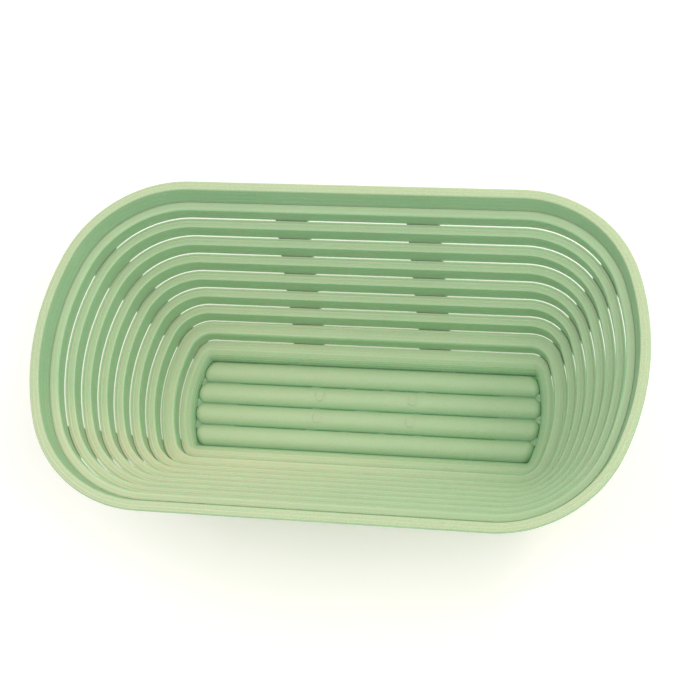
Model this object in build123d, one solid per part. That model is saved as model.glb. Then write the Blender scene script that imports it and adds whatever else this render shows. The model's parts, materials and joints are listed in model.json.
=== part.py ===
"""Rectangular proofing basket for bread dough, moulded in polypropylene.

The basket copies one wound from cane: a rim, eight stepped coils and a base ring, each following the
same rounded rectangle, with four half-round bars as the floor. Narrow slots between the coils and
between the bars let air and moisture through. Ties on the outside carry the coils, short webs join the
bars, and four corner feet hold the floor off the table.

Frame: millimetres, +X along the basket, +Y to the back, +Z up. The origin is at the centre of the
basket, on the plane that the feet stand on. A section is drawn in (u, z), where u is the distance
inwards from the rim's outer edge.
"""

import math
import os

from build123d import *

# Overall size
rim_length = 320.0
rim_width = 182.5
basket_height = 100.0

# Plan shape of the floor opening; every other outline runs parallel to it
floor_corner_radius = 0.6
floor_end_radius = 72.0
floor_end_reach = 2.4

# Wall
wall = 2.2
slot = 0.4
riser_draft = 0.35
tread_fall = 0.35

# Rim
flange_thickness = 3.0
rim_top_width = 5.0
rim_outer_round = 1.3
rim_inner_round = 0.8
band_run = 8.0
band_drop = 9.5

# Coils, counted from the top: how far each one steps inwards and down
first_coil_run = 5.0
first_coil_drop = 9.0
coil_run = 5.77
coil_drop = 10.12
last_coil_run = 8.2
last_coil_drop = 8.4
coil_count = 8
coil_round = 0.9
coil_inner_round = 0.8
last_coil_round = 1.6

# Base ring
base_run = 10.4
base_bead_radius = 7.0

# Floor
foot_height = 4.0
bar_count = 4
bar_flank = 1.6
bar_crown = 3.6
bar_end_round = 2.0
web_thickness = 1.4
outer_web_place = 43.4
outer_web_length = 7.6
inner_web_length = 4.2
side_web_places = (10.4, 30.0)
middle_web_place = 28.4
middle_web_length = 12.0
inner_slot_end = 73.0

# Ties
strap = 1.6
tie_recess = 1.3
side_tie_place = 35.6
side_tie_width = 17.2
corner_tie_angle = 30.0
corner_tie_top_width = 18.6
corner_tie_bottom_width = 12.8

# Feet
foot_leg_x = 24.0
foot_leg_y = 14.0

# Places worked out from the sizes above
coil_runs = [first_coil_run] + [coil_run] * (coil_count - 2) + [last_coil_run]
coil_drops = [first_coil_drop] + [coil_drop] * (coil_count - 2) + [last_coil_drop]
slot_u = [band_run + sum(coil_runs[:n]) for n in range(coil_count + 1)]
slot_z = [basket_height - band_drop - sum(coil_drops[:n]) for n in range(coil_count + 1)]
floor_u = slot_u[-1] + base_run
ring_inner_u = floor_u - slot / 2
half_length = rim_length / 2
half_width = rim_width / 2
corner_radius = floor_corner_radius + floor_u
end_radius = floor_end_radius + floor_u
bar_pitch = (rim_width - 2 * floor_u) / bar_count
bar_width = bar_pitch - slot
bar_end_radius = end_radius - ring_inner_u + floor_end_reach

# The corner arc's centre, and the angle at which the corner arc hands over to the end arc
end_centre_x = half_length - end_radius
corner_centre_y = half_width - corner_radius
handover = math.degrees(math.asin(corner_centre_y / (end_radius - corner_radius)))
corner_centre_x = end_centre_x + (end_radius - corner_radius) * math.cos(math.radians(handover))


def outline(u):
    """Closed wire of the basket's plan shape, u millimetres inside the rim's outer edge, at z = 0."""
    small = corner_radius - u
    large = end_radius - u
    side_y = half_width - u
    top = Line((corner_centre_x, side_y), (-corner_centre_x, side_y))
    back_left = CenterArc((-corner_centre_x, corner_centre_y), small, 90, 90 - handover)
    left = CenterArc((-end_centre_x, 0), large, 180 - handover, 2 * handover)
    front_left = CenterArc((-corner_centre_x, -corner_centre_y), small, 180 + handover, 90 - handover)
    bottom = Line((-corner_centre_x, -side_y), (corner_centre_x, -side_y))
    front_right = CenterArc((corner_centre_x, -corner_centre_y), small, 270, 90 - handover)
    right = CenterArc((end_centre_x, 0), large, -handover, 2 * handover)
    back_right = CenterArc((corner_centre_x, corner_centre_y), small, handover, 90 - handover)
    return Wire([edge.edge() for edge in
                 (top, back_left, left, front_left, bottom, front_right, right, back_right)])


def section_plane(x=0.0):
    """Plane for drawing a section in (u, z) across the back wall at x."""
    return Plane(origin=(x, half_width, 0), x_dir=(0, -1, 0), z_dir=(-1, 0, 0))


def rounded(points, rounds):
    """Face with the given (u, z) corners; rounds maps a corner's number to its radius."""
    face = make_face(Polyline(*points, close=True))
    for number, radius in rounds.items():
        corner = min(face.vertices(), key=lambda v: (v.X - points[number][0]) ** 2
                     + (v.Y - points[number][1]) ** 2)
        face = fillet(corner, radius)
    return face


def ring(points, rounds):
    """Solid ring with the given (u, z) section, following the basket's outline all round."""
    start = section_plane(corner_centre_x)
    return sweep(start * rounded(points, rounds), path=outline(0))


def rim_section():
    """The flange and the upright band below it."""
    band_top = rim_top_width - wall
    points = [
        (0, basket_height),
        (rim_top_width, basket_height),
        (slot_u[0], slot_z[0]),
        (slot_u[0] - wall, slot_z[0]),
        (band_top, basket_height - flange_thickness),
        (0, basket_height - flange_thickness),
    ]
    return points, {0: rim_outer_round, 1: rim_inner_round, 4: coil_inner_round, 5: rim_outer_round}


def coil_section(number):
    """The angle section of coil 1 to coil_count. Coil 1 also reaches out and carries the rim's band."""
    outer_u = slot_u[number - 1]
    top = slot_z[number - 1]
    inner_u = slot_u[number]
    bottom = slot_z[number]
    riser = [
        (inner_u - riser_draft, top - tread_fall),
        (inner_u, bottom),
        (inner_u - wall, bottom),
        (inner_u - riser_draft - wall, top - tread_fall - wall),
    ]
    outer_round = last_coil_round if number == coil_count else coil_round
    if number == 1:
        ledge = [(outer_u - wall, top - wall), (outer_u - wall, top), (outer_u, top)]
        return ledge + riser, {3: outer_round, 6: coil_inner_round}
    edge = outer_u + slot
    return [(edge, top)] + riser + [(edge, top - wall)], {1: outer_round, 4: coil_inner_round}


def base_section(leg=wall):
    """The base ring: a short tread that rolls over into a leg, which stands round the floor."""
    edge = slot_u[-1] + slot
    top = slot_z[-1]
    centre_u = ring_inner_u - base_bead_radius
    points = [
        (edge, top),
        (ring_inner_u, top),
        (ring_inner_u, foot_height),
        (ring_inner_u - leg, foot_height),
        (ring_inner_u - leg, top - wall),
        (edge, top - wall),
    ]
    inner = min(base_bead_radius - wall, top - wall - foot_height, centre_u - edge + base_bead_radius)
    return points, {1: base_bead_radius, 4: inner}


def strap_points():
    """Section of a tie: it backs the stepped wall from the rim to the base ring and fills the slots."""
    inner = [(slot_u[0] - wall, slot_z[0]), (slot_u[0] - wall, slot_z[0] - wall)]
    outer = [(slot_u[0] - wall - strap, slot_z[0]), (slot_u[0] - wall - strap, slot_z[0] - wall - strap)]
    for number in range(1, coil_count + 1):
        top = slot_z[number - 1]
        inner_u = slot_u[number]
        bottom = slot_z[number]
        inner += [
            (inner_u - riser_draft - wall, top - wall - tread_fall),
            (inner_u - wall, bottom),
            (inner_u, bottom),
            (inner_u, bottom - tie_recess),
            (inner_u + slot, bottom - tie_recess),
            (inner_u + slot, bottom - wall),
        ]
        outer += [
            (inner_u - riser_draft - wall - strap, top - wall - strap - tread_fall),
            (inner_u - wall - strap, bottom - wall - strap),
        ]
    return inner + outer[::-1]


def build_ties():
    """The side ties and corner ties, as {node: solid}."""
    ties = {}
    corners = {2 + 6 * number: coil_inner_round for number in range(coil_count)}
    section = rounded(strap_points(), corners)
    side = extrude(section_plane(side_tie_place + side_tie_width / 2) * section, side_tie_width)
    turn = [
        Line((corner_centre_x - corner_tie_top_width, half_width), (corner_centre_x, half_width)),
        CenterArc((corner_centre_x, corner_centre_y), corner_radius, 90, handover - 90),
        CenterArc((end_centre_x, 0), end_radius, handover, -handover),
    ]
    path = Wire([edge.edge() for edge in turn])
    bend = sweep(section_plane(corner_centre_x - corner_tie_top_width) * section, path=path)
    near = corner_radius - slot_u[-1] - slot
    far = corner_radius
    taper = (corner_tie_top_width - corner_tie_bottom_width) / (slot_u[-1] - slot_u[1])
    near_half = (corner_tie_bottom_width - taper * slot) / 2
    far_half = (corner_tie_top_width + taper * slot_u[1]) / 2
    strip = make_face(Polyline((0, -near_half), (near, -near_half), (far, -far_half),
                               (far, far_half), (near, near_half), (0, near_half), close=True))
    strip = extrude(strip, basket_height)
    strip = Pos(corner_centre_x, corner_centre_y, 0) * Rot(0, 0, corner_tie_angle) * strip
    corner = bend & strip
    for name, solid in (("side_tie", side), ("corner_tie", corner)):
        ties[name + "_back_right"] = solid
        ties[name + "_back_left"] = mirror(solid, Plane.YZ)
        ties[name + "_front_right"] = mirror(solid, Plane.XZ)
        ties[name + "_front_left"] = mirror(mirror(solid, Plane.XZ), Plane.YZ)
    return ties


def bar_y(number):
    """Y of a floor bar's middle; bar 1 is at the back."""
    return ((bar_count + 1) / 2 - number) * bar_pitch


def end_x(y):
    """X where the floor's right end runs past y."""
    return end_centre_x + math.sqrt(bar_end_radius ** 2 - y ** 2)


def floor_discs():
    """Two tall discs whose outer arcs are the ends of the floor."""
    disc = Pos(end_centre_x, 0, 0) * Cylinder(bar_end_radius, 2 * basket_height)
    return disc + mirror(disc, Plane.YZ)


def half_round(width, height, y, reach):
    """Half-round bar along X, centred at y, from -reach to reach; height is the top of its crown."""
    half = width / 2
    flank = foot_height + bar_flank
    edges = [
        Line((y - half, foot_height), (y + half, foot_height)),
        Line((y + half, foot_height), (y + half, flank)),
        ThreePointArc((y + half, flank), (y, height), (y - half, flank)),
        Line((y - half, flank), (y - half, foot_height)),
    ]
    face = make_face([edge.edge() for edge in edges])
    return extrude(Plane(origin=(0, 0, 0), x_dir=(0, 1, 0), z_dir=(1, 0, 0)) * face, reach, both=True)


def build_bar(number):
    """One floor bar: a half-round shell, open below, whose rounded ends meet the base ring."""
    crown = foot_height + bar_flank + bar_crown
    y = bar_y(number)
    body = half_round(bar_width, crown, y, half_length)
    body = body & floor_discs()
    tops = [edge for edge in body.edges()
            if edge.geom_type != GeomType.LINE and edge.center().Z > foot_height + bar_flank]
    body = fillet(tops, bar_end_round)
    reach = end_x(abs(y) + bar_width / 2) - wall - bar_end_round / 2
    return body - half_round(bar_width - 2 * wall, crown - wall, y, reach)


def web(x, length, y, width=slot):
    """A short web that joins two members across a floor slot."""
    return Pos(x, y, foot_height + web_thickness / 2) * Box(length, width, web_thickness)


def build_base_ring():
    """The base ring. The floor bars reach under its roll at both ends, so its leg stands further out there."""
    opening = Box(rim_length, 2 * (half_width - ring_inner_u), 2 * basket_height) & floor_discs()
    sides = Box(2 * (corner_centre_x - wall), rim_width, 2 * basket_height)
    ends = ring(*base_section(wall + floor_end_reach)) - sides
    return ring(*base_section()) + ends - opening


def build_webs():
    """The webs across the floor slots, as {node: solids}. Slot 0 is at the back."""
    webs = {}
    middle = bar_count // 2
    for number in range(bar_count + 1):
        y = (bar_count / 2 - number) * bar_pitch
        if number in (0, bar_count):
            name = "floor_webs_back" if number == 0 else "floor_webs_front"
            solids = [web(side * outer_web_place, outer_web_length, y) for side in (-1, 1)]
            webs[name] = Compound(solids)
            continue
        if number == middle:
            solids = [web(0, middle_web_length, y)]
            places = (middle_web_place,)
        else:
            solids = []
            places = side_web_places
        solids += [web(side * place, inner_web_length, y) for side in (-1, 1) for place in places]
        end_length = end_x(abs(y) + slot / 2) - inner_slot_end
        solids += [web(side * (inner_slot_end + end_length / 2), end_length, y) for side in (-1, 1)]
        webs[f"floor_webs_{number}_{number + 1}"] = Compound(solids)
    return webs


def build_feet():
    """Four L-shaped feet: the base ring's inner wall carried down to the table at each corner."""
    points = [
        (ring_inner_u - wall, 0),
        (ring_inner_u, 0),
        (ring_inner_u, foot_height),
        (ring_inner_u - wall, foot_height),
    ]
    skirt = ring(points, {})
    corner_x = corner_centre_x + corner_radius - ring_inner_u
    corner_y = half_width - ring_inner_u
    window = Pos(corner_x - foot_leg_x + half_length / 2, corner_y - foot_leg_y + half_width / 2,
                 foot_height / 2) * Box(half_length, half_width, foot_height)
    foot = skirt & window
    return {
        "foot_back_right": foot,
        "foot_back_left": mirror(foot, Plane.YZ),
        "foot_front_right": mirror(foot, Plane.XZ),
        "foot_front_left": mirror(mirror(foot, Plane.XZ), Plane.YZ),
    }


def build():
    """Every node of the basket, as {name: shape}."""
    nodes = {"rim": ring(*rim_section())}
    for number in range(1, coil_count + 1):
        nodes[f"coil_{number}"] = ring(*coil_section(number))
    nodes["base_ring"] = build_base_ring()
    for number in range(1, bar_count + 1):
        nodes[f"floor_bar_{number}"] = build_bar(number)
    nodes.update(build_webs())
    nodes.update(build_ties())
    nodes.update(build_feet())
    return nodes


os.makedirs("parts", exist_ok=True)
for node, shape in build().items():
    export_step(shape, os.path.join("parts", node + ".step"))
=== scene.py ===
"""Rectangular proofing basket in moulded polypropylene, on a pale studio floor.

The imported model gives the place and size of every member. This script rebuilds each one with the finer
shape of the real moulding: soft noses on the coils, domed floor bars, ejector marks and tool marks.
Everything is in metres in the model's frame: +X along the basket, +Y to the back, +Z up, with the origin
on the floor below the basket's centre. A section is drawn in (inset, height), where inset is the
distance inwards from the rim's outer edge.
"""

import json
import logging
import math
from dataclasses import dataclass, field
from enum import Enum
from functools import partial

import bmesh
import bpy
from mathutils import Matrix, Vector

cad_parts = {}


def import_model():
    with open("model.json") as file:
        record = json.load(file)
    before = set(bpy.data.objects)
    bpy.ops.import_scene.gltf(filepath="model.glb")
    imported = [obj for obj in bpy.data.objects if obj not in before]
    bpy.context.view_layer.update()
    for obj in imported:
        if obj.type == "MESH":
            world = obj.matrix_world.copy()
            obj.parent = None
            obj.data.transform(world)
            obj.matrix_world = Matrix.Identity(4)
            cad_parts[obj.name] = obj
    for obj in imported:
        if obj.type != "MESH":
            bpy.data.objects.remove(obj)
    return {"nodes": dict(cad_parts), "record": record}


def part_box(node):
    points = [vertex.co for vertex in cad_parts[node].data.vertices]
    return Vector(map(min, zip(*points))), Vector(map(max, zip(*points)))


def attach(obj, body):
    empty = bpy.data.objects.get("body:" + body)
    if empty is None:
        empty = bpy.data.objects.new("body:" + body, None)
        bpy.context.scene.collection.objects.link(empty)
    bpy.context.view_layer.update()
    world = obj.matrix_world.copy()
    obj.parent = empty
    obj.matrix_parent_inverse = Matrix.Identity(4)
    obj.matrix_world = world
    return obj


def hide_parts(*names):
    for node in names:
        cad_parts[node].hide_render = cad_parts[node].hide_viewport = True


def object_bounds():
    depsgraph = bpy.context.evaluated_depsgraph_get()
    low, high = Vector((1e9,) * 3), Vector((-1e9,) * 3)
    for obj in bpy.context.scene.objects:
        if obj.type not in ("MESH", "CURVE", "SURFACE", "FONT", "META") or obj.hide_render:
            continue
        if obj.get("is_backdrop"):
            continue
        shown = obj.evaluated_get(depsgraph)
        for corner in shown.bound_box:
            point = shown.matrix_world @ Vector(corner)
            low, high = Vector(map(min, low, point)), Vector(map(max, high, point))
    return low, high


MM = 0.001
RUN = "section_run"
INSET = "section_inset"
WEB_LENGTH = "web_length"
WEB_WIDTH = "web_width"
log = logging.getLogger("basket")

# Kinds of node that come up often
MATH = "ShaderNodeMath"
MAP_RANGE = "ShaderNodeMapRange"
NOISE = "ShaderNodeTexNoise"
COMBINE = "ShaderNodeCombineXYZ"
SEPARATE = "ShaderNodeSeparateXYZ"
POSITION = "GeometryNodeInputPosition"
SET_POSITION = "GeometryNodeSetPosition"
BOOLEAN = "GeometryNodeMeshBoolean"


# ---------------------------------------------------------------- helpers


def linear(colour: str) -> tuple[float, float, float, float]:
    """Turn an sRGB hex colour into linear light.

    Args:
        colour: Six hex digits, with or without a leading #.

    Returns:
        Red, green, blue and an alpha of 1.
    """
    digits = colour.lstrip("#")
    parts = [int(digits[n:n + 2], 16) / 255 for n in (0, 2, 4)]
    light = [p / 12.92 if p <= 0.04045 else ((p + 0.055) / 1.055) ** 2.4 for p in parts]
    return (*light, 1.0)


def add(tree: bpy.types.NodeTree, kind: str, inputs: dict | None = None, **settings) -> bpy.types.Node:
    """Add a node to a tree, with its settings, values and links.

    Args:
        tree: The tree that gets the node.
        kind: The node's type name.
        inputs: Socket name or number to a value, or to what feeds it: an output socket, or a node
            whose first output is meant. A list gives several feeds to one socket.
        settings: Properties of the node itself.

    Returns:
        The new node.
    """
    node = tree.nodes.new(kind)
    for name, value in settings.items():
        setattr(node, name, value)
    for key, value in (inputs or {}).items():
        for feed in value if isinstance(value, list) else [value]:
            if isinstance(feed, bpy.types.Node):
                feed = feed.outputs[0]
            if isinstance(feed, bpy.types.NodeSocket):
                tree.links.new(feed, node.inputs[key])
            else:
                node.inputs[key].default_value = feed
    return node


def direction(azimuth: float, elevation: float) -> Vector:
    """Return the unit vector towards an azimuth from the front and an elevation, both in degrees."""
    a, e = math.radians(azimuth), math.radians(elevation)
    return Vector((math.sin(a) * math.cos(e), -math.cos(a) * math.cos(e), math.sin(e)))


def rounded(corners: list[tuple[float, float, float]], step: float = 12.0) -> list[tuple[float, float]]:
    """Round the corners of a closed outline.

    Args:
        corners: Each corner as (first axis, second axis, radius).
        step: The largest turn between two points of a rounding, in degrees.

    Returns:
        The outline's points, in order.
    """
    points = []
    for number, (a, b, radius) in enumerate(corners):
        here = Vector((a, b))
        before = Vector(corners[number - 1][:2]) - here
        after = Vector(corners[(number + 1) % len(corners)][:2]) - here
        if radius <= 0:
            points.append(tuple(here))
            continue
        before.normalize()
        after.normalize()
        half = before.angle(after) / 2
        centre = here + (before + after).normalized() * (radius / math.sin(half))
        start = here + before * (radius / math.tan(half)) - centre
        end = here + after * (radius / math.tan(half)) - centre
        turn = math.copysign(math.pi - 2 * half, start.x * end.y - start.y * end.x)
        count = max(2, math.ceil(math.degrees(abs(turn)) / step))
        for n in range(count + 1):
            angle = turn * n / count
            points.append((centre.x + start.x * math.cos(angle) - start.y * math.sin(angle),
                           centre.y + start.x * math.sin(angle) + start.y * math.cos(angle)))
    return points


def outline_host(name: str, points: list[tuple[float, float]], lined: bool = True) -> bpy.types.Object:
    """Make the object that carries a section into a Geometry Nodes tree.

    Args:
        name: The object's name.
        points: The closed section, which lands in the object's X and Y.
        lined: Whether the tool left lines along the piece.

    Returns:
        A mesh object of one edge loop, with the length along the section as an attribute. The length
        stays zero where the tool left no lines.
    """
    mesh = bpy.data.meshes.new(name)
    count = len(points)
    mesh.from_pydata([(a, b, 0.0) for a, b in points], [(n, (n + 1) % count) for n in range(count)], [])
    runs = [0.0]
    for (a, b), (c, d) in zip(points, points[1:]):
        runs.append(runs[-1] + (math.hypot(c - a, d - b) if lined else 0.0))
    mesh.attributes.new(RUN, "FLOAT", "POINT").data.foreach_set("value", runs)
    mesh.attributes.new(INSET, "FLOAT", "POINT").data.foreach_set("value", [a for a, _ in points])
    host = bpy.data.objects.new(name, mesh)
    bpy.context.scene.collection.objects.link(host)
    return host


class Recipe:
    """A Geometry Nodes tree with named inputs, which grows a plain mesh from a host object."""

    def __init__(self, name: str) -> None:
        """Start a tree whose first input and only output are geometry."""
        self.tree = bpy.data.node_groups.new(name, "GeometryNodeTree")
        self.sockets: dict[str, str] = {}
        self.tree.interface.new_socket("Geometry", in_out="INPUT", socket_type="NodeSocketGeometry")
        self.tree.interface.new_socket("Geometry", in_out="OUTPUT", socket_type="NodeSocketGeometry")
        self.start = self.tree.nodes.new("NodeGroupInput")

    def size(self, name: str, kind: str = "NodeSocketFloat") -> bpy.types.NodeSocket:
        """Add a named input.

        Args:
            name: What the input is called.
            kind: The socket's type name.

        Returns:
            The socket that gives the input's value inside the tree.
        """
        item = self.tree.interface.new_socket(name, in_out="INPUT", socket_type=kind)
        self.sockets[name] = item.identifier
        return self.start.outputs[name]

    def close(self, geometry: bpy.types.Node, smooth_below: float = 32.0) -> None:
        """End the tree: smooth shading with crisp edges, real instances and the finish.

        Args:
            geometry: The node whose first output is the shape.
            smooth_below: Edges that turn more than this, in degrees, stay crisp.
        """
        tree = self.tree
        put = partial(add, tree)
        finish = self.size("Finish", "NodeSocketMaterial")
        real = put("GeometryNodeRealizeInstances", {"Geometry": geometry})
        smooth = put("GeometryNodeSetShadeSmooth", {"Geometry": real}, domain="FACE")
        angle = put("GeometryNodeInputMeshEdgeAngle")
        flat = put("FunctionNodeCompare", {0: angle, 1: math.radians(smooth_below)}, operation="LESS_THAN")
        edges = put("GeometryNodeSetShadeSmooth", {"Geometry": smooth, "Shade Smooth": flat}, domain="EDGE")
        dressed = put("GeometryNodeSetMaterial", {"Geometry": edges, "Material": finish})
        put("NodeGroupOutput", {0: dressed})

    def grow(self, host: bpy.types.Object, values: dict) -> bpy.types.Object:
        """Run the tree on a host and keep the result as the host's own plain mesh.

        Args:
            host: The object that the modifier goes on.
            values: Input name to value.

        Returns:
            The host, with the modifier gone and its normals facing outwards.
        """
        modifier = host.modifiers.new(self.tree.name, "NODES")
        modifier.node_group = self.tree
        for name, value in values.items():
            modifier[self.sockets[name]] = value
        depsgraph = bpy.context.evaluated_depsgraph_get()
        depsgraph.update()
        made = bpy.data.meshes.new_from_object(host.evaluated_get(depsgraph), preserve_all_data_layers=True,
                                               depsgraph=depsgraph)
        host.modifiers.clear()
        made.name = host.name
        host.data = made
        shape = bmesh.new()
        shape.from_mesh(made)
        bmesh.ops.recalc_face_normals(shape, faces=shape.faces)
        if shape.calc_volume(signed=True) < 0:
            bmesh.ops.reverse_faces(shape, faces=shape.faces)
        shape.to_mesh(made)
        shape.free()
        return host


# ---------------------------------------------------------------- sizes


@dataclass(frozen=True)
class Plan:
    """The rounded rectangle that the rim and every coil follow."""

    half_length: float
    half_width: float
    top: float
    corner_radius: float = 66.82 * MM
    end_radius: float = 138.22 * MM

    @property
    def corner_y(self) -> float:
        """Y of the corner arc's centre."""
        return self.half_width - self.corner_radius

    @property
    def end_x(self) -> float:
        """X of the end arc's centre."""
        return self.half_length - self.end_radius

    @property
    def handover(self) -> float:
        """Angle at which the end arc hands over to the corner arc."""
        return math.asin(self.corner_y / (self.end_radius - self.corner_radius))

    @property
    def corner_x(self) -> float:
        """X of the corner arc's centre."""
        return self.end_x + (self.end_radius - self.corner_radius) * math.cos(self.handover)

    def values(self) -> dict[str, float]:
        """Return the outline's inputs for a tree that follows it."""
        bend = math.tan((math.pi / 2 - self.handover) / 2)
        return {
            "Corner Point": self.corner_x + self.corner_radius * bend,
            "End Point": self.end_x + self.end_radius / math.cos(self.handover),
            "Half Width": self.half_width,
            "Corner Radius": self.corner_radius,
            "End Radius": self.end_radius,
        }


@dataclass(frozen=True)
class Wall:
    """Sizes that every member of the moulding shares."""

    thickness: float = 2.2 * MM
    slot: float = 0.4 * MM
    tie_recess: float = 1.3 * MM
    draft: float = 0.35 * MM
    fall: float = 0.35 * MM
    strap: float = 1.6 * MM


@dataclass(frozen=True)
class Step:
    """Where one coil sits: its tread's outer edge and height, and the foot of its riser."""

    outer: float
    top: float
    inner: float
    bottom: float


def steps_from_frame(plan: Plan, wall: Wall, count: int) -> list[Step]:
    """Read the coils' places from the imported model.

    Args:
        plan: The basket's outline.
        wall: The shared sizes.
        count: How many coils there are.

    Returns:
        One step for each coil, from the top.
    """
    boxes = [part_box(f"coil_{n}") for n in range(1, count + 1)] + [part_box("base_ring")]
    rim_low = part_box("rim")[0]
    edges = [plan.half_length - high.x - wall.slot for _, high in boxes]
    edges[0] = plan.half_length - boxes[0][1].x + wall.thickness
    tops = [rim_low.z] + [low.z for low, _ in boxes[:-1]]
    return [Step(edges[n], tops[n], edges[n + 1], tops[n + 1]) for n in range(count)]


# ---------------------------------------------------------------- finishes


@dataclass(frozen=True)
class MouldedPolypropylene:
    """Injection-moulded polypropylene in pastel green, from a fine spark-eroded tool.

    The plastic is slightly translucent and waxy, so light softens inside the wall and highlights are
    broad. The tool leaves a fine grain, and its cutter leaves faint lines that run with the coils. Paler
    colour on the faces that look up, the lip, the line crests and the front left corner is painted light,
    and the darker valley bottoms of the floor are painted shade.
    """

    rim_top: float
    name: str = "moulded polypropylene, pastel green"
    body: str = "#9AC296"
    deep: str = "#92BC8E"
    # Pale colour for real scuffs and for the painted light and highlights
    chalk_and_light: str = "#D6D5AE"
    grain: float = 0.7 * MM
    mottle: float = 3.5 * MM
    flow: float = 45.0 * MM
    tool_line: float = 0.9 * MM
    scuff: float = 14.0 * MM
    speck: float = 0.9 * MM
    lip_depth: float = 1.2 * MM
    valley: float = 5.5 * MM
    roughness: float = 0.40
    ior: float = 1.49
    scatter: float = 2.5 * MM
    # Share of painted light on faces that look up
    top_light_share: float = 0.34
    # Strength of the painted highlight in the front left corner
    corner_highlight_share: float = 0.8
    line_depth: float = 0.28 * MM
    grain_depth: float = 0.10 * MM

    def build(self) -> bpy.types.Material:
        """Make the material.

        Returns:
            The finished node material.
        """
        material = bpy.data.materials.new(self.name)
        material.use_nodes = True
        tree = material.node_tree
        tree.nodes.clear()
        put = partial(add, tree)
        place = put("ShaderNodeTexCoord").outputs["Object"]
        # Slow colour drift from the way the melt filled the mould
        flow = put(NOISE, {"Vector": place, "Scale": 1 / self.flow, "Detail": 3.0, "Roughness": 0.55})
        drift = put(MAP_RANGE, {"Value": flow, "From Min": 0.35, "From Max": 0.65})
        # Small cloudy mottle, as in any filled pastel
        cloud = put(NOISE, {"Vector": place, "Scale": 1 / self.mottle, "Detail": 4.0, "Roughness": 0.6})
        spot = put(MAP_RANGE, {"Value": cloud, "From Min": 0.3, "From Max": 0.7})
        blend = put(MATH, {0: drift, 1: spot}, operation="MULTIPLY")
        base = put("ShaderNodeMix", {"Factor": blend, 6: linear(self.body), 7: linear(self.deep)},
                   data_type="RGBA")
        # Chalky scuffs and flour rubbed into the grain, in scattered patches
        patch = put(NOISE, {"Vector": place, "Scale": 1 / self.scuff, "Detail": 5.0, "Roughness": 0.68,
                            "Distortion": 0.8})
        rubbed = put(MAP_RANGE, {"Value": patch, "From Min": 0.56, "From Max": 0.78, "To Max": 0.25})
        # Painted light: every face that looks up is painted paler, as if lit from above
        facing = put(SEPARATE, {0: put("ShaderNodeNewGeometry").outputs["Normal"]})
        lit_from_above = put(MAP_RANGE, {"Value": facing.outputs[2], "From Min": 0.45, "From Max": 0.95,
                                  "To Max": self.top_light_share})
        cloudy = put(MAP_RANGE, {"Value": cloud, "From Min": 0.3, "From Max": 0.7, "To Min": 0.94,
                                 "To Max": 1.06})
        height = put(SEPARATE, {0: place})
        # The painted light is strongest low down and towards the left, with a painted highlight in the front
        # left corner
        lean = put(MAP_RANGE, {"Value": height, "From Min": -60 * MM, "From Max": 90 * MM, "To Min": 1.45,
                               "To Max": 0.95})
        height_falloff = put(MAP_RANGE, {"Value": height.outputs[2], "From Min": 0.0, "From Max": self.rim_top,
                                 "To Min": lean, "To Max": 0.8})
        leftward = put(MAP_RANGE, {"Value": height, "From Min": 110 * MM, "From Max": -100 * MM},
                       interpolation_type="SMOOTHSTEP")
        forward = put(MAP_RANGE, {"Value": height.outputs[1], "From Min": -18 * MM, "From Max": -45 * MM},
                      interpolation_type="SMOOTHSTEP")
        front_left_place = put(MATH, {0: leftward, 1: forward}, operation="MULTIPLY")
        corner_highlight = put(MATH, {0: front_left_place, 1: self.corner_highlight_share, 2: 1.0}, operation="MULTIPLY_ADD")
        painted_light_reach = put(MATH, {0: height_falloff, 1: corner_highlight}, operation="MULTIPLY")
        painted_light_amount = put(MATH, {0: cloudy, 1: painted_light_reach}, operation="MULTIPLY")
        # The painted light stops above the bottoms of the floor's valleys, so the webs stay darker there as
        # painted shade
        valley = put(MAP_RANGE, {"Value": height.outputs[2], "From Min": self.valley,
                                 "From Max": self.valley + self.lip_depth})
        lit_above_valleys = put(MATH, {0: lit_from_above, 1: valley}, operation="MULTIPLY")
        painted_top_light = put(MATH, {0: lit_above_valleys, 1: painted_light_amount}, operation="MULTIPLY")
        # Painted highlight: the lip is painted paler, broken by small specks in the grain
        lip = put(MAP_RANGE, {"Value": height.outputs[2], "From Min": self.rim_top - self.lip_depth,
                              "From Max": self.rim_top})
        specks = put(NOISE, {"Vector": place, "Scale": 1 / self.speck, "Detail": 3.0, "Roughness": 0.6})
        lip_specks = put(MAP_RANGE, {"Value": specks, "From Min": 0.35, "From Max": 0.68, "To Min": 0.34,
                               "To Max": 0.66})
        lip_highlight = put(MATH, {0: lip, 1: lip_specks}, operation="MULTIPLY")
        # Cutter lines that run with the section; finer in life, drawn as coarse as they need to show
        run = put("ShaderNodeAttribute", attribute_name=RUN)
        lines = put(NOISE, {"W": run.outputs["Fac"], "Scale": 1 / self.tool_line, "Detail": 1.5,
                            "Roughness": 0.5}, noise_dimensions="1D")
        line_bump = put("ShaderNodeBump", {"Height": lines, "Strength": 1.0, "Distance": self.line_depth})
        # Painted highlight: the crests of the cutter lines are painted paler where the painted light lies
        crests = put(MAP_RANGE, {"Value": lines, "From Min": 0.48, "From Max": 0.62, "To Max": 0.22})
        line_highlights = put(MATH, {0: crests, 1: painted_light_reach}, operation="MULTIPLY")
        # Real scuffs and the painted highlight on the lip
        scuffs_and_lip_highlight = put(MATH, {0: rubbed, 1: lip_highlight}, operation="MAXIMUM")
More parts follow.
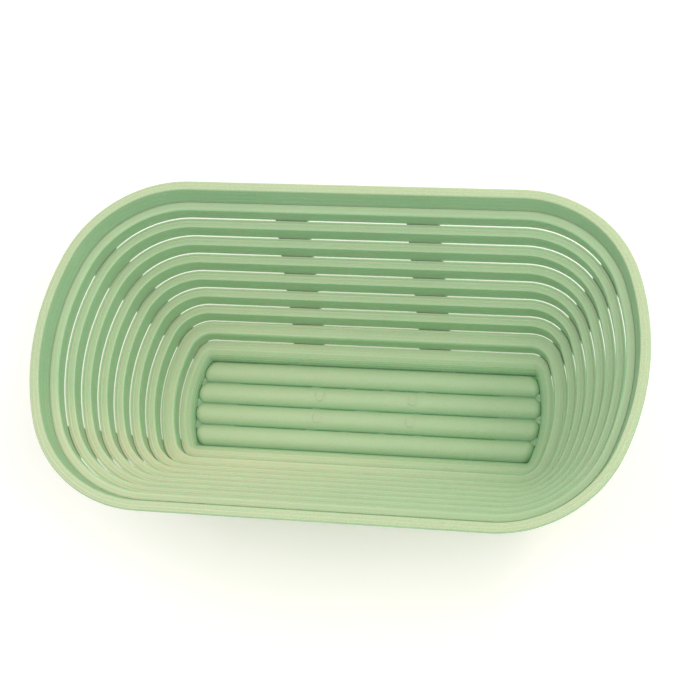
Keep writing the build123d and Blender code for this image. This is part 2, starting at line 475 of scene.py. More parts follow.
        # Spark-eroded grain; about 0.1 mm in life, drawn coarser so that it shows
        grain = put(NOISE, {"Vector": place, "Scale": 1 / self.grain, "Detail": 2.0, "Roughness": 0.5})
        fleck = put(MAP_RANGE, {"Value": grain, "From Min": 0.35, "From Max": 0.65, "To Min": -0.06,
                                "To Max": 0.10})
        # Real scuffs, the painted light and the grain together
        scuffs_and_painted_light = put(MATH, {0: scuffs_and_lip_highlight, 1: painted_top_light}, operation="MAXIMUM")
        grain_scuffs_and_light = put(MATH, {0: scuffs_and_painted_light, 1: fleck}, operation="ADD")
        pale = put(MATH, {0: grain_scuffs_and_light, 1: line_highlights}, operation="ADD", use_clamp=True)
        colour = put("ShaderNodeMix", {"Factor": pale, 6: base.outputs[2], 7: linear(self.chalk_and_light)},
                     data_type="RGBA")
        grain_bump = put("ShaderNodeBump", {"Height": grain, "Strength": 0.8, "Distance": self.grain_depth,
                                            "Normal": line_bump})
        gloss = put(MAP_RANGE, {"Value": patch, "From Min": 0.3, "From Max": 0.75,
                                "To Min": self.roughness - 0.04, "To Max": self.roughness + 0.10})
        shader = put("ShaderNodeBsdfPrincipled", {"Base Color": colour.outputs[2], "Roughness": gloss,
                                                  "IOR": self.ior, "Subsurface Weight": 0.6,
                                                  "Subsurface Radius": (0.35, 1.0, 0.7),
                                                  "Subsurface Scale": self.scatter, "Normal": grain_bump})
        put("ShaderNodeOutputMaterial", {"Surface": shader})
        return material


@dataclass(frozen=True)
class BacklitTable:
    """Opal acrylic table, lit from below, so that shadows on it stay pale and warm."""

    name: str = "opal acrylic, backlit"
    colour: str = "#FFF8F8"
    glow: str = "#F5F0DC"
    strength: float = 0.20

    def build(self) -> bpy.types.Material:
        """Make the material.

        Returns:
            The finished node material.
        """
        material = bpy.data.materials.new(self.name)
        material.use_nodes = True
        shader = material.node_tree.nodes["Principled BSDF"]
        shader.inputs["Base Color"].default_value = linear(self.colour)
        shader.inputs["Roughness"].default_value = 0.9
        shader.inputs["Emission Color"].default_value = linear(self.glow)
        shader.inputs["Emission Strength"].default_value = self.strength
        return material


# ---------------------------------------------------------------- trees


def outline_group() -> bpy.types.NodeTree:
    """Build the group that draws the rim's outline from its sizes.

    Returns:
        A Geometry Nodes group with one closed curve as its output.
    """
    recipe = Recipe("Basket outline")
    tree = recipe.tree
    put = partial(add, tree)
    corner_point, end_point, half_width, corner_radius, end_radius = (
        recipe.size(n) for n in ("Corner Point", "End Point", "Half Width", "Corner Radius", "End Radius"))
    spacing = recipe.size("Point Spacing")
    # Six points: one at each corner and one at each end, where tangents of the arcs would meet
    six = put("GeometryNodeCurvePrimitiveCircle", {"Resolution": 6, "Radius": 1.0})
    place = put(SEPARATE, {0: put(POSITION)})
    size_y = put(MATH, {0: place.outputs[1]}, operation="ABSOLUTE")
    is_corner = put(MATH, {0: size_y, 1: 0.1}, operation="GREATER_THAN")
    side_x = put(MATH, {0: place}, operation="SIGN")
    side_y = put(MATH, {0: place.outputs[1]}, operation="SIGN")
    out_x = put("ShaderNodeMix", {0: is_corner, 2: end_point, 3: corner_point})
    out_y = put(MATH, {0: is_corner, 1: half_width}, operation="MULTIPLY")
    at_x = put(MATH, {0: side_x, 1: out_x}, operation="MULTIPLY")
    at_y = put(MATH, {0: side_y, 1: out_y}, operation="MULTIPLY")
    at = put(COMBINE, {0: at_x, 1: at_y})
    index = put("GeometryNodeInputIndex")
    third = put(MATH, {0: index, 1: 3.0}, operation="MODULO")
    not_end = put(MATH, {0: third, 1: 0.5}, operation="GREATER_THAN")
    radius = put("ShaderNodeMix", {0: not_end, 2: end_radius, 3: corner_radius})
    polygon = put(SET_POSITION, {"Geometry": six, "Position": at})
    arcs = put("GeometryNodeFilletCurve", {"Curve": polygon, "Count": 64, "Radius": radius,
                                           "Limit Radius": False}, mode="POLY")
    even = put("GeometryNodeResampleCurve", {"Curve": arcs, "Length": spacing}, mode="LENGTH")
    upright = put("GeometryNodeSetCurveNormal", {"Curve": even}, mode="Z_UP")
    put("NodeGroupOutput", {0: upright})
    return tree


class RingRecipe(Recipe):
    """Sweeps a closed section, drawn in (inset, height), round the basket's outline."""

    OUTLINE = ("Corner Point", "End Point", "Half Width", "Corner Radius", "End Radius", "Point Spacing")

    def __init__(self, name: str, outline: bpy.types.NodeTree) -> None:
        """Build the sweep.

        Args:
            name: The tree's name.
            outline: The group that draws the outline.
        """
        super().__init__(name)
        tree = self.tree
        put = partial(add, tree)
        sizes = {n: self.size(n) for n in self.OUTLINE}
        path = put("GeometryNodeGroup", node_tree=outline)
        for title, socket in sizes.items():
            tree.links.new(socket, path.inputs[title])
        loop = put("GeometryNodeMeshToCurve", {"Mesh": self.start.outputs["Geometry"]})
        # The sweep puts the profile's X outwards and its Y downwards, so both are turned over
        turned = put("GeometryNodeTransform", {"Geometry": loop, "Scale": (-1.0, -1.0, 1.0)})
        self.ring = put("GeometryNodeCurveToMesh", {"Curve": path, "Profile Curve": turned})

    def seal(self) -> "RingRecipe":
        """End the tree with the whole ring."""
        self.close(self.ring)
        return self

    def stretched(self) -> "RingRecipe":
        """End the tree with a ring whose inner edge is drawn out towards the basket's ends.

        Returns:
            This recipe.
        """
        tree = self.tree
        put = partial(add, tree)
        start, full, share = (self.size(n) for n in ("Stretch Start", "Stretch Full", "Stretch Share"))
        inset = put("GeometryNodeInputNamedAttribute", {"Name": INSET})
        ramp = put(MAP_RANGE, {"Value": inset, "From Min": start, "From Max": full},
                   interpolation_type="SMOOTHSTEP")
        factor = put(MATH, {0: ramp, 1: share, 2: 1.0}, operation="MULTIPLY_ADD")
        scale = put(COMBINE, {0: factor, 1: 1.0, 2: 1.0})
        place = put(POSITION)
        drawn = put("ShaderNodeVectorMath", {0: place, 1: scale}, operation="MULTIPLY")
        shape = put(SET_POSITION, {"Geometry": self.ring, "Position": drawn})
        self.close(shape)
        return self

    def cut_by(self, cutters: bpy.types.Node) -> "RingRecipe":
        """End the tree with only what lies inside the cutters.

        Args:
            cutters: The node whose first output is closed shapes.

        Returns:
            This recipe.
        """
        put = partial(add, self.tree)
        real = put("GeometryNodeRealizeInstances", {"Geometry": cutters})
        kept = put(BOOLEAN, {"Mesh 2": [self.ring, real]}, operation="INTERSECT", solver="MANIFOLD")
        self.close(kept)
        return self


# ---------------------------------------------------------------- the basket


@dataclass
class Basket:
    """Sizes and finish that all sub-assemblies share, and the way a finished piece joins the frame."""

    plan: Plan
    wall: Wall
    steps: list[Step]
    finish: bpy.types.Material
    outline: bpy.types.NodeTree
    slot_name: str
    spacing: float = 2.6 * MM

    @property
    def end_reach(self) -> float:
        """How much further the floor's ends reach than its sides would have them do."""
        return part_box("floor_bar_2")[1].x - (self.plan.half_length - self.floor_inner)

    @property
    def base_edge(self) -> float:
        """Inset of the base ring's tread, at the foot of the last coil."""
        return self.steps[-1].inner

    @property
    def floor_inner(self) -> float:
        """Inset of the base ring's inner face, half a slot outside the first bar."""
        return self.plan.half_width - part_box("floor_bar_1")[1].y - self.wall.slot

    def values(self) -> dict:
        """Return the inputs of a tree that follows the outline."""
        return {**self.plan.values(), "Point Spacing": self.spacing, "Finish": self.finish}

    def keep(self, piece: bpy.types.Object, nodes: list[str]) -> None:
        """Let a finished piece stand for its CAD nodes.

        Args:
            piece: The finished object.
            nodes: The CAD nodes that it replaces.
        """
        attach(piece, "root")
        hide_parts(*nodes)
        log.info("%s: %d faces, for %s", piece.name, len(piece.data.polygons), ", ".join(nodes))


@dataclass
class Rings:
    """The rim, the eight coils and the base ring."""

    basket: Basket
    flange: float = 3.0 * MM
    lip: float = 5.0 * MM
    lip_outer_round: float = 1.3 * MM
    lip_inner_round: float = 0.8 * MM
    nose: float = 0.9 * MM
    last_nose: float = 1.6 * MM
    inside_round: float = 0.8 * MM
    edge_round: float = 0.25 * MM
    tread_edge_round: float = 0.15 * MM
    bead: float = 7.0 * MM
    crease_width: float = 0.25 * MM
    crease_depth: float = 0.4 * MM
    stretch_start: float = 1.5 * MM
    bead_step: float = 6.0

    def rim_section(self) -> list[tuple[float, float, float]]:
        """Return the flange and the upright band below it, as rounded corners."""
        wall, top = self.basket.wall, self.basket.plan.top
        first = self.basket.steps[0]
        return [
            (first.outer - wall.thickness, first.top, 0.0),
            (self.lip - wall.thickness, top - self.flange, self.inside_round),
            (0.0, top - self.flange, self.lip_outer_round),
            (0.0, top, self.lip_outer_round),
            (self.lip, top, self.lip_inner_round),
            (first.outer, first.top, self.edge_round),
        ]

    def coil_section(self, number: int) -> list[tuple[float, float, float]]:
        """Return one coil's angle section, as rounded corners.

        Args:
            number: The coil's number, from 1 at the top.

        Returns:
            Corners as (inset, height, radius).
        """
        wall, step = self.basket.wall, self.basket.steps[number - 1]
        thick, edge = wall.thickness, step.outer + wall.slot
        nose_u, nose_z = step.inner - wall.draft, step.top - wall.fall
        nose = self.last_nose if number == len(self.basket.steps) else self.nose
        lower = [(step.inner - thick, step.bottom, 0.0), (nose_u - thick, nose_z - thick,
                                                          self.inside_round)]
        upper = [(nose_u, nose_z, nose), (step.inner, step.bottom, self.edge_round)]
        if number > 1:
            return lower + [(edge, step.top - thick, 0.0), (edge, step.top, self.tread_edge_round)] + upper
        ledge = [
            (step.outer - thick, step.top - thick, self.edge_round),
            (step.outer - thick, step.top, 0.0),
            (step.outer, step.top, 0.0),
            (step.outer, step.top - self.crease_depth, 0.0),
            (step.outer + self.crease_width, step.top - self.crease_depth, 0.0),
            (step.outer + self.crease_width, step.top, 0.0),
        ]
        return lower + ledge + upper

    def base_section(self) -> list[tuple[float, float, float]]:
        """Return the base ring's tread and rolled edge, as rounded corners."""
        wall, low = self.basket.wall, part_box("base_ring")[0].z
        top = self.basket.steps[-1].bottom
        edge, inner = self.basket.base_edge + wall.slot, self.basket.floor_inner
        inside = max(0.2 * MM, min(self.bead, top - low) - wall.thickness - 0.4 * MM)
        return [
            (inner - wall.thickness, low, 0.0),
            (inner - wall.thickness, top - wall.thickness, inside),
            (edge, top - wall.thickness, 0.0),
            (edge, top, self.tread_edge_round),
            (inner, top, self.bead),
            (inner, low, 0.0),
        ]

    def build(self) -> None:
        """Grow every ring and put it in the frame."""
        recipe = RingRecipe("Sweep round the basket", self.basket.outline).seal()
        sections = {"rim": self.rim_section()}
        for number in range(1, len(self.basket.steps) + 1):
            sections[f"coil_{number}"] = self.coil_section(number)
        for node, corners in sections.items():
            host = outline_host(f"{node}_moulded", rounded(corners))
            self.basket.keep(recipe.grow(host, self.basket.values()), [node])
        basket = self.basket
        reach = basket.plan.half_length - basket.floor_inner
        values = {
            **basket.values(),
            "Stretch Start": basket.base_edge + self.stretch_start,
            "Stretch Full": basket.floor_inner - basket.wall.thickness,
            "Stretch Share": basket.end_reach / reach,
        }
        base = RingRecipe("Base ring, drawn out at the ends", basket.outline).stretched()
        host = outline_host("base_ring_moulded", rounded(self.base_section(), self.bead_step))
        basket.keep(base.grow(host, values), ["base_ring"])


@dataclass
class Ties:
    """The straps behind the wall that carry the coils, seen from inside as breaks in the slots."""

    basket: Basket
    side_place: float = 35.6 * MM
    side_width: float = 17.2 * MM
    corner_angle: float = 30.0
    top_width: float = 18.6 * MM
    bottom_width: float = 12.8 * MM
    inside_round: float = 0.8 * MM
    edge_round: float = 0.5 * MM

    def section(self) -> list[tuple[float, float, float]]:
        """Return the stepped strap's section, as rounded corners."""
        wall, steps = self.basket.wall, self.basket.steps
        thick, strap, soft = wall.thickness, wall.strap, self.edge_round
        first = steps[0]
        inside = [(first.outer - thick, first.top, 0.0), (first.outer - thick, first.top - thick, 0.0)]
        outside = [(first.outer - thick - strap, first.top, soft),
                   (first.outer - thick - strap, first.top - thick - strap, soft)]
        for step in steps:
            nose_u, nose_z = step.inner - wall.draft - thick, step.top - wall.fall - thick
            inside += [
                (nose_u, nose_z, self.inside_round),
                (step.inner - thick, step.bottom, 0.0),
                (step.inner, step.bottom, 0.0),
                (step.inner, step.bottom - wall.tie_recess, 0.0),
                (step.inner + wall.slot, step.bottom - wall.tie_recess, 0.0),
                (step.inner + wall.slot, step.bottom - thick, 0.0),
            ]
            outside += [(nose_u - strap, nose_z - strap, soft),
                        (step.inner - thick - strap, step.bottom - thick - strap, soft)]
        return inside + outside[::-1]

    def build(self) -> None:
        """Grow the eight ties and put them in the frame."""
        plan = self.basket.plan
        recipe = RingRecipe("Ties behind the wall", self.basket.outline)
        put = partial(add, recipe.tree)
        place, width, height = (recipe.size(n) for n in ("Side Place", "Side Width", "Height"))
        centre_x, centre_y = recipe.size("Corner Centre X"), recipe.size("Corner Centre Y")
        angle, reach = recipe.size("Corner Angle"), recipe.size("Corner Reach")
        near, far = recipe.size("Near Width"), recipe.size("Far Width")
        # Two long boxes make the four side ties, back and front
        double = put(MATH, {0: place, 1: 2.0}, operation="MULTIPLY")
        back = put(MATH, {0: place, 1: -1.0}, operation="MULTIPLY")
        pair = put("GeometryNodeMeshLine", {"Count": 2, "Start Location": put(COMBINE, {0: back}),
                                            "Offset": put(COMBINE, {0: double})})
        box = put("GeometryNodeMeshCube", {"Size": put(COMBINE, {0: width, 1: 1.0, 2: height})})
        sides = put("GeometryNodeInstanceOnPoints", {"Points": pair, "Instance": box})
        # A wedge from each corner arc's centre makes a corner tie that narrows towards the floor
        block = put("GeometryNodeMeshCube", {"Size": put(COMBINE, {0: reach, 1: 1.0, 2: height})})
        spot = put(SEPARATE, {0: put(POSITION)})
        half = put(MATH, {0: reach, 1: 2.0}, operation="DIVIDE")
        along = put(MATH, {0: spot, 1: half}, operation="ADD")
        share = put(MATH, {0: along, 1: reach}, operation="DIVIDE")
        wide = put("ShaderNodeMix", {0: share, 2: near, 3: far})
        across = put(MATH, {0: spot.outputs[1], 1: wide}, operation="MULTIPLY")
        wedge = put(SET_POSITION, {"Geometry": block, "Position": put(COMBINE,
                                                                      {0: along, 1: across,
                                                                       2: spot.outputs[2]})})
        span_x = put(MATH, {0: centre_x, 1: 2.0}, operation="MULTIPLY")
        span_y = put(MATH, {0: centre_y, 1: 2.0}, operation="MULTIPLY")
        corners = put("GeometryNodeMeshGrid", {"Size X": span_x, "Size Y": span_y, "Vertices X": 2,
                                               "Vertices Y": 2})
        side = put("ShaderNodeVectorMath", {0: put(POSITION)}, operation="SIGN")
        cosine = put(MATH, {0: angle}, operation="COSINE")
        sine = put(MATH, {0: angle}, operation="SINE")
        lean = put(COMBINE, {0: cosine, 1: sine})
        aim = put("ShaderNodeVectorMath", {0: side, 1: lean}, operation="MULTIPLY")
        turn = put("FunctionNodeAlignRotationToVector", {"Vector": aim}, axis="X", pivot_axis="Z")
        wedges = put("GeometryNodeInstanceOnPoints", {"Points": corners, "Instance": wedge,
                                                      "Rotation": turn})
        joined = put("GeometryNodeJoinGeometry", {0: [sides, wedges]})
        recipe.cut_by(joined)

        first, last = self.basket.steps[0], self.basket.steps[-1]
        slope = (self.top_width - self.bottom_width) / (last.inner - first.inner)
        to_last = plan.corner_radius - last.inner
        values = {
            **self.basket.values(),
            "Side Place": self.side_place,
            "Side Width": self.side_width,
            "Height": 2.5 * plan.top,
            "Corner Centre X": plan.corner_x,
            "Corner Centre Y": plan.corner_y,
            "Corner Angle": math.radians(self.corner_angle),
            "Corner Reach": plan.corner_radius,
            "Near Width": self.bottom_width - slope * to_last,
            "Far Width": self.top_width + slope * first.inner,
        }
        nodes = [f"{kind}_tie_{end}_{hand}" for kind in ("side", "corner")
                 for end in ("back", "front") for hand in ("left", "right")]
        host = outline_host("wall_ties_moulded", rounded(self.section()))
        self.basket.keep(recipe.grow(host, values), nodes)


@dataclass
class Floor:
    """Four half-round bars, the webs between them and the four corner feet."""

    basket: Basket
    bar_count: int = 4
    flank: float = 1.6 * MM
    crown: float = 3.6 * MM
    end_round: float = 4.6 * MM
    web_height: float = 1.4 * MM
    foot_leg_x: float = 24.0 * MM
    foot_leg_y: float = 14.0 * MM
    mark_place: float = 26.0 * MM
    mark_radius: float = 2.65 * MM
    mark_sink: float = 0.28 * MM
    mark_proud: float = 0.02 * MM
    pin_depth: float = 2.0 * MM
    hollow_drop: float = 0.4 * MM
    foot_edge_round: float = 0.3 * MM
    arc_steps: int = 20
    bar_points: int = 110
    hollow_points: int = 24
    outer_web: tuple[float, float] = (43.4 * MM, 7.6 * MM)
    side_webs: tuple[float, ...] = (10.4 * MM, 30.0 * MM)
    side_web_length: float = 4.2 * MM
    middle_web: float = 28.4 * MM
    gate_web_length: float = 12.0 * MM
    inner_slot_end: float = 73.0 * MM

    @property
    def base(self) -> float:
        """Height of the floor's underside."""
        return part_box("floor_bar_1")[0].z

    @property
    def pitch(self) -> float:
        """Distance between neighbouring bars."""
        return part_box("floor_bar_1")[0].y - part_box("floor_bar_2")[0].y

    @property
    def width(self) -> float:
        """Width of one bar."""
        low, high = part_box("floor_bar_1")
        return high.y - low.y

    def end_arc(self) -> float:
        """Radius of the arc on which the bars end."""
        return self.basket.plan.end_radius - self.basket.floor_inner + self.basket.end_reach

    def bar_section(self, width: float, height: float) -> list[tuple[float, float]]:
        """Return a half-round section.

        Args:
            width: Width over the flanks.
            height: Height of the crown above the underside.

        Returns:
            Points as (across, up) from the middle of the underside.
        """
        half, rise = width / 2, height - self.flank
        radius = (half * half + rise * rise) / (2 * rise)
        sweep = math.asin(min(1.0, half / radius))
        points = [(half, 0.0)]
        for n in range(self.arc_steps + 1):
            angle = sweep * (1 - 2 * n / self.arc_steps)
            points.append((radius * math.sin(angle), height - radius * (1 - math.cos(angle))))
        return points + [(-half, 0.0)]

    def build_bars(self) -> None:
        """Grow the bars with their domed ends, hollow undersides and ejector marks."""
        recipe = Recipe("Floor bars")
        put = partial(add, recipe.tree)
        reach, pitch, half_width = (recipe.size(n) for n in ("Reach", "Pitch", "Half Bar Width"))
        first_y, base = recipe.size("First Bar Y"), recipe.size("Base Height")
        end_round, arc, arc_x = (recipe.size(n) for n in ("End Round", "End Arc Radius", "End Arc Centre"))
        hollow_reach = recipe.size("Hollow Reach")
        hollow_scale = recipe.size("Hollow Scale", "NodeSocketVector")
        mark_x, mark_radius, mark_top = (recipe.size(f"Mark {n}") for n in ("Place", "Radius", "Height"))

        def line(length: bpy.types.NodeSocket, count: int) -> bpy.types.Node:
            """Draw a line along X whose points crowd towards its ends.

            Args:
                length: Socket with half the line's length.
                count: How many points it has.

            Returns:
                The node that gives the curve.
            """
            unit = put("GeometryNodeCurvePrimitiveLine", {"Start": (-1.0, 0.0, 0.0),
                                                          "End": (1.0, 0.0, 0.0)})
            many = put("GeometryNodeResampleCurve", {"Curve": unit, "Count": count})
            x = put(SEPARATE, {0: put(POSITION)})
            quarter = put(MATH, {0: x, 1: math.pi / 2}, operation="MULTIPLY")
            crowd = put(MATH, {0: quarter}, operation="SINE")
            far = put(MATH, {0: crowd, 1: length}, operation="MULTIPLY")
            spread = put(SET_POSITION, {"Geometry": many, "Position": put(COMBINE, {0: far})})
            return put("GeometryNodeSetCurveNormal", {"Curve": spread}, mode="Z_UP")

        # Near each end the section shrinks along a quarter circle, which domes the bar
        place = put(SEPARATE, {0: put(POSITION)})
        size_x = put(MATH, {0: place}, operation="ABSOLUTE")
        left = put(MATH, {0: reach, 1: size_x}, operation="SUBTRACT")
        into = put(MATH, {0: end_round, 1: left}, operation="SUBTRACT")
        into = put(MATH, {0: into, 1: 0.0}, operation="MAXIMUM")
        square = put(MATH, {0: into, 1: 2.0}, operation="POWER")
        whole = put(MATH, {0: end_round, 1: 2.0}, operation="POWER")
        rest = put(MATH, {0: whole, 1: square}, operation="SUBTRACT")
        rest = put(MATH, {0: rest, 1: 0.0}, operation="MAXIMUM")
        arc_y = put(MATH, {0: rest}, operation="SQRT")
        lost = put(MATH, {0: end_round, 1: arc_y}, operation="SUBTRACT")
        share = put(MATH, {0: lost, 1: half_width}, operation="DIVIDE")
        scale = put(MATH, {0: 1.0, 1: share}, operation="SUBTRACT")
        loop = put("GeometryNodeMeshToCurve", {"Mesh": recipe.start.outputs["Geometry"]})
        profile = put("GeometryNodeTransform", {"Geometry": loop, "Scale": (1.0, -1.0, 1.0)})
        body = put("GeometryNodeCurveToMesh", {"Curve": line(reach, self.bar_points),
                                               "Profile Curve": profile, "Scale": scale, "Fill Caps": True})
        small = put("GeometryNodeTransform", {"Geometry": profile, "Scale": hollow_scale})
        core = put("GeometryNodeCurveToMesh", {"Curve": line(hollow_reach, self.hollow_points),
                                               "Profile Curve": small, "Fill Caps": True})
        lowered = put("GeometryNodeTransform", {"Geometry": core,
                                                "Translation": (0.0, 0.0, -self.hollow_drop)})
        shell = put(BOOLEAN, {"Mesh 1": body, "Mesh 2": lowered}, operation="DIFFERENCE", solver="MANIFOLD")
        # Four copies, one pitch apart
        gap = put(MATH, {0: pitch, 1: -1.0}, operation="MULTIPLY")
        row = put("GeometryNodeMeshLine", {"Count": self.bar_count,
                                           "Start Location": put(COMBINE, {1: first_y, 2: base}),
                                           "Offset": put(COMBINE, {1: gap})})
        bars = put("GeometryNodeInstanceOnPoints", {"Points": row, "Instance": shell})
        real = put("GeometryNodeRealizeInstances", {"Geometry": bars})
        # The bars end on the base ring's arc, so each is stretched to meet it
        at = put(SEPARATE, {0: put(POSITION)})
        arc_square = put(MATH, {0: arc, 1: 2.0}, operation="POWER")
        y_square = put(MATH, {0: at.outputs[1], 1: 2.0}, operation="POWER")
        chord = put(MATH, {0: arc_square, 1: y_square}, operation="SUBTRACT")
        root = put(MATH, {0: chord}, operation="SQRT")
        meets = put(MATH, {0: root, 1: arc_x}, operation="ADD")
        ratio = put(MATH, {0: meets, 1: reach}, operation="DIVIDE")
        new_x = put(MATH, {0: at, 1: ratio}, operation="MULTIPLY")
        moved = put(COMBINE, {0: new_x, 1: at.outputs[1], 2: at.outputs[2]})
        fitted = put(SET_POSITION, {"Geometry": real, "Position": moved})
        # Ejector pins leave a flat disc on the two middle bars: proud at its sides, sunk in the middle
        span = put(MATH, {0: mark_x, 1: 2.0}, operation="MULTIPLY")
        spots = put("GeometryNodeMeshGrid", {"Size X": span, "Size Y": pitch, "Vertices X": 2,
                                             "Vertices Y": 2})
        pin = put("GeometryNodeMeshCylinder", {"Vertices": 40, "Radius": mark_radius,
                                               "Depth": self.pin_depth})
        pads = put("GeometryNodeInstanceOnPoints", {"Points": spots, "Instance": pin})
        pads = put("GeometryNodeRealizeInstances", {"Geometry": pads})
        pad_z = put(MATH, {0: mark_top, 1: self.mark_proud - self.pin_depth / 2}, operation="ADD")
        cut_z = put(MATH, {0: mark_top, 1: self.pin_depth / 2}, operation="ADD")
        low_pads = put("GeometryNodeTransform", {"Geometry": pads, "Translation": put(COMBINE, {2: pad_z})})
        high_pads = put("GeometryNodeTransform", {"Geometry": pads,
                                                  "Translation": put(COMBINE, {2: cut_z})})
        sunk = put(BOOLEAN, {"Mesh 1": fitted, "Mesh 2": high_pads}, operation="DIFFERENCE",
                   solver="MANIFOLD")
        marked = put(BOOLEAN, {"Mesh 2": [sunk, low_pads]}, operation="UNION", solver="MANIFOLD")
        recipe.close(marked)

        height = self.flank + self.crown
        thick = self.basket.wall.thickness
        end_x = self.basket.plan.end_x + self.end_arc()
        inner_width = self.width - 2 * thick
        values = {
            "Reach": end_x,
            "Pitch": self.pitch,
            "Half Bar Width": self.width / 2,
            "First Bar Y": self.pitch * (self.bar_count - 1) / 2,
            "Base Height": self.base,
            "End Round": self.end_round,
            "End Arc Radius": self.end_arc(),
            "End Arc Centre": self.basket.plan.end_x,
            "Hollow Reach": end_x - thick - self.end_round,
            "Hollow Scale": (inner_width / self.width, (height - thick + self.hollow_drop) / height, 1.0),
            "Mark Place": self.mark_place,
            "Mark Radius": self.mark_radius,
            "Mark Height": self.base + height - self.mark_sink,
            "Finish": self.basket.finish,
        }
        host = outline_host("floor_bars_moulded", self.bar_section(self.width, height), lined=False)
        nodes = [f"floor_bar_{n}" for n in range(1, self.bar_count + 1)]
        self.basket.keep(recipe.grow(host, values), nodes)

    def web_places(self) -> list[tuple[float, float, float, float]]:
        """Return each web as (x, y, length, width).

        A wider pad closes the corner below two neighbouring domes.
        """
        places = []
        slot, pad = self.basket.wall.slot, self.end_round
        middle = self.bar_count // 2
        for number in range(self.bar_count + 1):
            y = (self.bar_count / 2 - number) * self.pitch
            if number in (0, self.bar_count):
                found = [(*self.outer_web, slot)]
            else:
                along = (self.middle_web,) if number == middle else self.side_webs
                meets = self.basket.plan.end_x + math.sqrt(self.end_arc() ** 2 - y * y)
                length = meets - self.inner_slot_end
                found = [(x, self.side_web_length, slot) for x in along]
                found.append((self.inner_slot_end + length / 2, length, slot))
                found.append((meets - pad / 2, pad, pad))
            places += [(side * x, y, long, wide) for x, long, wide in found for side in (-1, 1)]
            if number == middle:
                places.append((0.0, y, self.gate_web_length, slot))
        return places

    def build_webs(self) -> None:
        """Grow the short webs that join the bars across the floor slots."""
        places = self.web_places()
        mesh = bpy.data.meshes.new("floor_webs_moulded")
        mesh.from_pydata([(x, y, self.base + self.web_height / 2) for x, y, *_ in places], [], [])
        mesh.attributes.new(WEB_LENGTH, "FLOAT", "POINT").data.foreach_set("value", [p[2] for p in places])
        mesh.attributes.new(WEB_WIDTH, "FLOAT", "POINT").data.foreach_set("value", [p[3] for p in places])
        host = bpy.data.objects.new("floor_webs_moulded", mesh)
        bpy.context.scene.collection.objects.link(host)
        recipe = Recipe("Floor webs")
        put = partial(add, recipe.tree)
        height = recipe.size("Web Height")
        length = put("GeometryNodeInputNamedAttribute", {"Name": WEB_LENGTH})
        width = put("GeometryNodeInputNamedAttribute", {"Name": WEB_WIDTH})
        size = put(COMBINE, {0: length, 1: width, 2: height})
        unit = put("GeometryNodeMeshCube", {"Size": (1.0, 1.0, 1.0)})
        webs = put("GeometryNodeInstanceOnPoints", {"Points": recipe.start.outputs["Geometry"],
                                                    "Instance": unit, "Scale": size})
        recipe.close(webs)
        values = {"Web Height": self.web_height, "Finish": self.basket.finish}
        nodes = ["floor_webs_back", "floor_webs_1_2", "floor_webs_2_3", "floor_webs_3_4", "floor_webs_front"]
        self.basket.keep(recipe.grow(host, values), nodes)

    def build_feet(self) -> None:
        """Grow the four corner feet from the base ring's inner wall."""
        plan, thick, inner = self.basket.plan, self.basket.wall.thickness, self.basket.floor_inner
        recipe = RingRecipe("Corner feet", self.basket.outline)
        put = partial(add, recipe.tree)
        leg_x, leg_y = recipe.size("Leg Place X"), recipe.size("Leg Place Y")
        # Each window is a metre cube whose inner corner sits where a foot's legs end
        near_x = put(MATH, {0: leg_x, 1: 2.0, 2: 1.0}, operation="MULTIPLY_ADD")
        near_y = put(MATH, {0: leg_y, 1: 2.0, 2: 1.0}, operation="MULTIPLY_ADD")
        grid = put("GeometryNodeMeshGrid", {"Size X": near_x, "Size Y": near_y, "Vertices X": 2,
                                            "Vertices Y": 2})
        cube = put("GeometryNodeMeshCube", {"Size": (1.0, 1.0, 1.0)})
        windows = put("GeometryNodeInstanceOnPoints", {"Points": grid, "Instance": cube})
        recipe.cut_by(windows)
        corner_x = plan.corner_x + plan.corner_radius - inner
        values = {
            **self.basket.values(),
            "Leg Place X": corner_x - self.foot_leg_x,
            "Leg Place Y": plan.half_width - inner - self.foot_leg_y,
        }
        soft = self.foot_edge_round
        section = [(inner - thick, self.base, 0.0), (inner - thick, 0.0, soft), (inner, 0.0, soft),
                   (inner, self.base, 0.0)]
        host = outline_host("feet_moulded", rounded(section))
        nodes = [f"foot_{end}_{hand}" for end in ("back", "front") for hand in ("left", "right")]
        self.basket.keep(recipe.grow(host, values), nodes)

    def build(self) -> None:
        """Grow the whole floor."""
        self.build_bars()
        self.build_webs()
        self.build_feet()


# ---------------------------------------------------------------- studio


class LightRole(Enum):
    """What a lamp does in the studio."""

    KEY = "key"
    FILL = "fill"
    RIM = "rim"
    KICK = "kick"


@dataclass(frozen=True)
class SoftBox:
    """A square area lamp aimed at the basket."""

    role: LightRole
    azimuth: float
    elevation: float
    distance: float
    side: float
    power: float
    colour: str

    def place(self, target: Vector) -> None:
        """Put the lamp in the scene.

        Args:
            target: The point that it faces.
        """
        data = bpy.data.lights.new(f"{self.role.value} softbox", "AREA")
        data.shape = "SQUARE"
        data.size = self.side
        data.energy = self.power
        data.color = linear(self.colour)[:3]
        lamp = bpy.data.objects.new(data.name, data)
        bpy.context.scene.collection.objects.link(lamp)
        away = direction(self.azimuth, self.elevation)
        lamp.location = target + away * self.distance
        lamp.rotation_euler = away.to_track_quat("Z", "Y").to_euler()


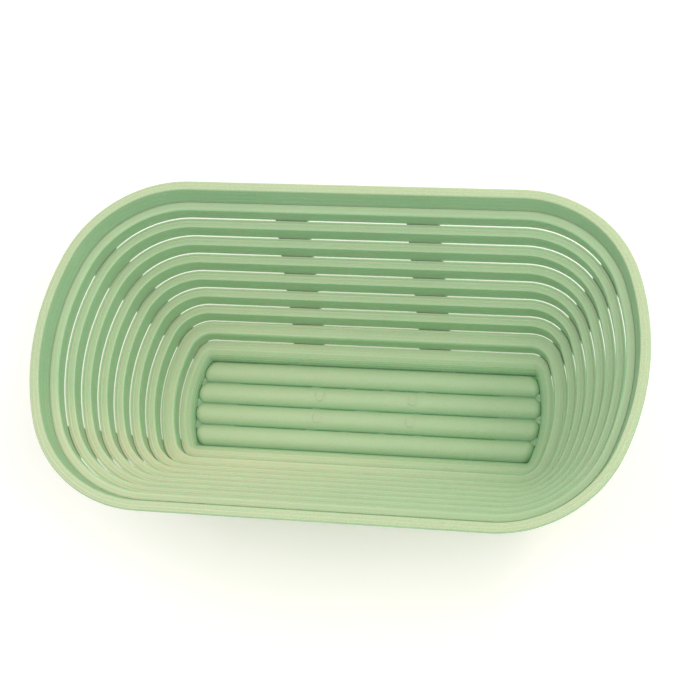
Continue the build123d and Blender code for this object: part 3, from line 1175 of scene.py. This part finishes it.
@dataclass
class Studio:
    """The floor, the lamps and the camera."""

    plan: Plan
    azimuth: float = 32.8
    elevation: float = 65.35
    distance: float = 993.6 * MM
    roll: float = -27.84
    aim: tuple[float, float] = (10.2 * MM, -1.0 * MM)
    focal_length: float = 101.6
    lamps: list[SoftBox] = field(default_factory=lambda: [
        SoftBox(LightRole.KEY, 60.0, 55.0, 1.6, 1.2, 12.3, "#FFFEFF"),
        SoftBox(LightRole.FILL, -90.0, 60.0, 1.6, 1.2, 5.5, "#FDFFFF"),
        SoftBox(LightRole.RIM, 200.0, 50.0, 1.6, 0.9, 2.9, "#FFFFF6"),
        SoftBox(LightRole.KICK, 140.0, 36.0, 1.6, 0.5, 4.5, "#FFF2E8"),
    ])
    sky: str = "#F9FFFF"
    sky_strength: float = 0.5
    floor_side: float = 12.0
    sensor_width: float = 36.0

    def build_floor(self) -> None:
        """Lay a wide pale floor that is not part of the basket."""
        bpy.ops.mesh.primitive_plane_add(size=self.floor_side, location=(0.0, 0.0, 0.0))
        floor = bpy.context.active_object
        floor.name = "studio_floor"
        floor.data.materials.append(BacklitTable().build())
        floor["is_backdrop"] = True

    def build_sky(self) -> None:
        """Give even light from all round."""
        world = bpy.data.worlds.new("studio sky")
        world.use_nodes = True
        back = world.node_tree.nodes["Background"]
        back.inputs["Color"].default_value = linear(self.sky)
        back.inputs["Strength"].default_value = self.sky_strength
        bpy.context.scene.world = world

    def build_camera(self) -> None:
        """Place the camera and make it the scene's own."""
        data = bpy.data.cameras.new("camera")
        data.lens = self.focal_length
        data.sensor_width = self.sensor_width
        data.clip_start = 0.01
        camera = bpy.data.objects.new("camera", data)
        scene = bpy.context.scene
        scene.collection.objects.link(camera)
        away = direction(self.azimuth, self.elevation)
        target = Vector((*self.aim, self.plan.top))
        turned = away.to_track_quat("Z", "Y").to_matrix().to_4x4()
        camera.matrix_world = (Matrix.Translation(target + away * self.distance) @ turned
                               @ Matrix.Rotation(math.radians(self.roll), 4, "Z"))
        scene.camera = camera
        scene.view_settings.view_transform = "Standard"

    def build(self) -> None:
        """Set up the whole studio."""
        self.build_floor()
        self.build_sky()
        for lamp in self.lamps:
            lamp.place(Vector((0.0, 0.0, self.plan.top / 2)))
        self.build_camera()


def main() -> None:
    """Build the basket in its frame, then the studio."""
    logging.basicConfig(level=logging.INFO, format="%(name)s: %(message)s")
    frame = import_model()
    cad_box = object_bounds()
    _, high = cad_box
    plan = Plan(half_length=high[0], half_width=high[1], top=high[2])
    wall = Wall()
    coils = sum(1 for node in frame["nodes"] if node.startswith("coil_"))
    basket = Basket(plan, wall, steps_from_frame(plan, wall, coils), MouldedPolypropylene(plan.top).build(),
                    outline_group(), frame["record"]["materials"][0]["slot"])
    Rings(basket).build()
    Ties(basket).build()
    Floor(basket).build()
    Studio(plan).build()
    bpy.context.view_layer.update()


if __name__ == "__main__":
    main()
